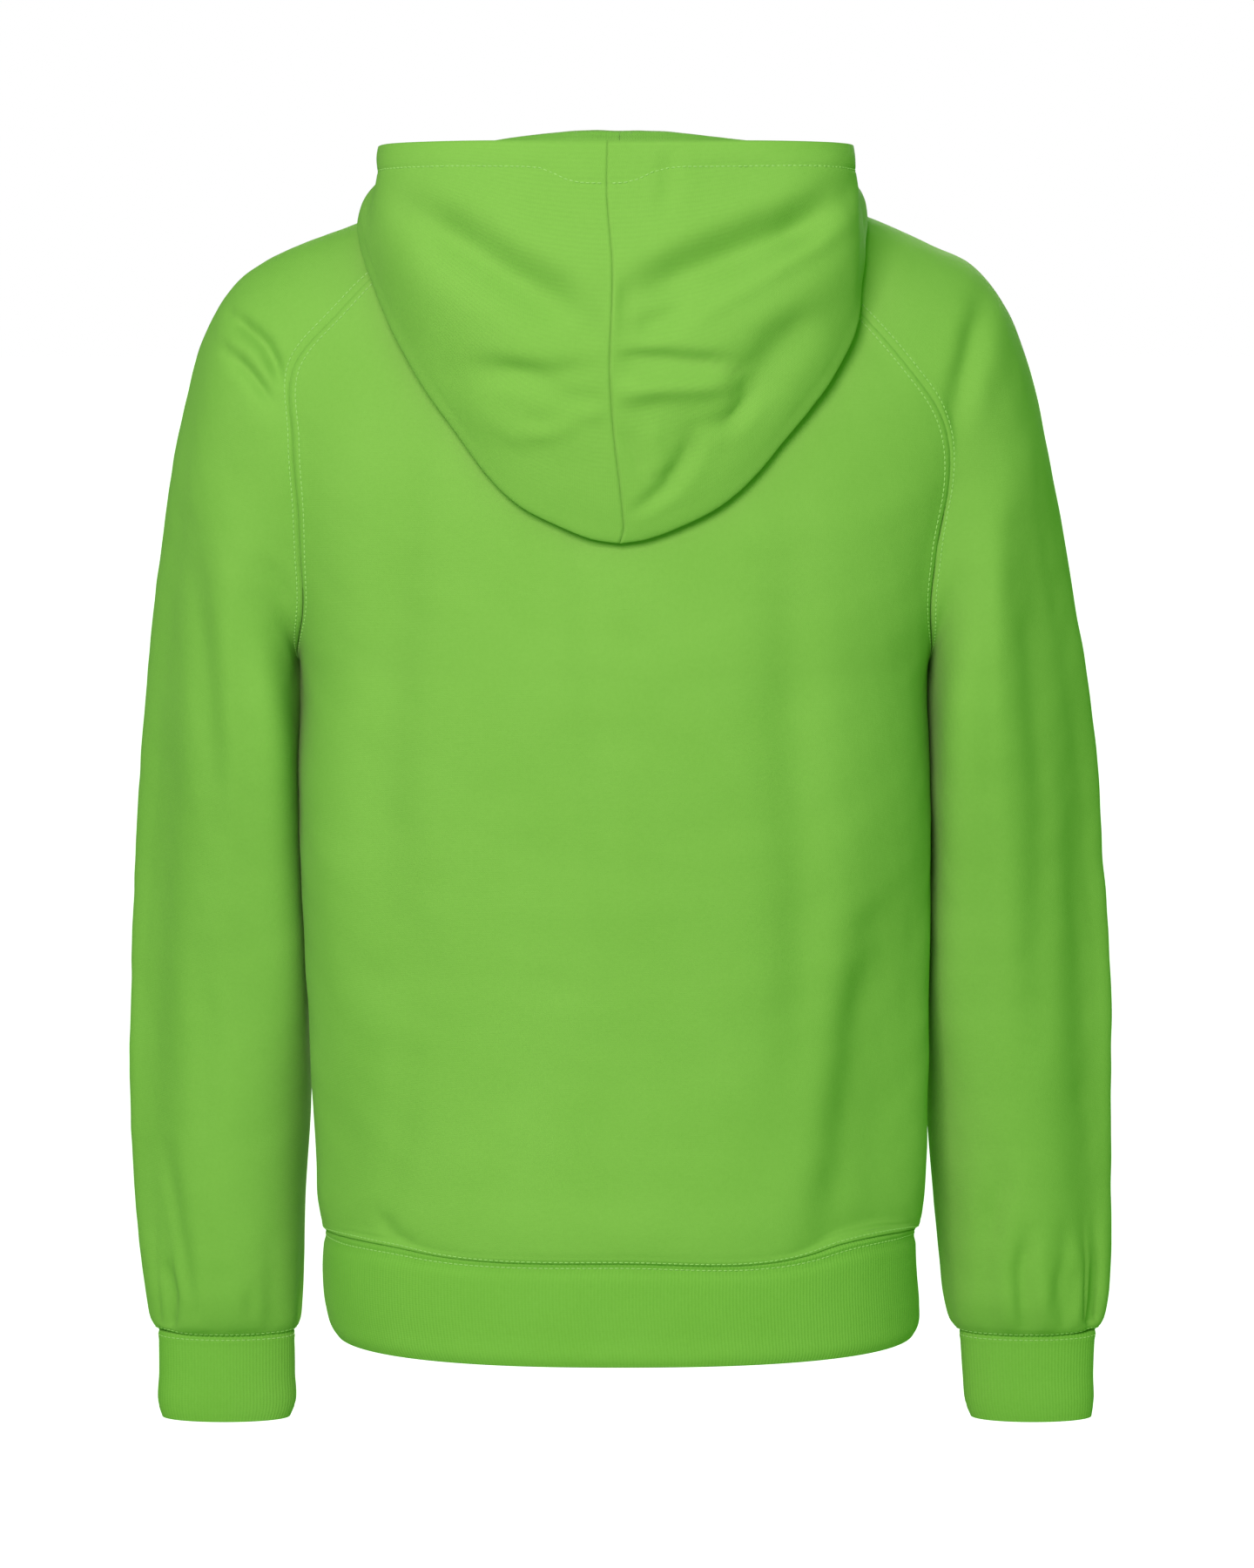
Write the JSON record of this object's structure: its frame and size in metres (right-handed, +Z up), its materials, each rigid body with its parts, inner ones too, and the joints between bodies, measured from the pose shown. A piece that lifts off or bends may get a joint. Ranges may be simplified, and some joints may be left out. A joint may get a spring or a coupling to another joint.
{
  "type": "pullover hoodie",
  "caption": "Green raglan pullover hoodie in brushed sweat cloth, filled out with no wearer, hood lying down on the back, rib cuffs and hem.",
  "frame": {"origin": "centre of the neck opening, level with the neck-shoulder points", "axes": "+Z up, the front faces -Y, +X is the wearer's left"},
  "size_m": [0.6243, 0.2775, 0.8141],
  "materials": {
    "sweat_cloth": "brushed",
    "rib": "knitted"
  },
  "bodies": {
    "root": {"front": "sweat_cloth", "back": "sweat_cloth", "sleeve_left": "sweat_cloth", "sleeve_right": "sweat_cloth", "cuff_left": "rib", "cuff_right": "rib", "hem_rib": "rib", "hood_left": "sweat_cloth", "hood_right": "sweat_cloth"}
  },
  "joints": []
}
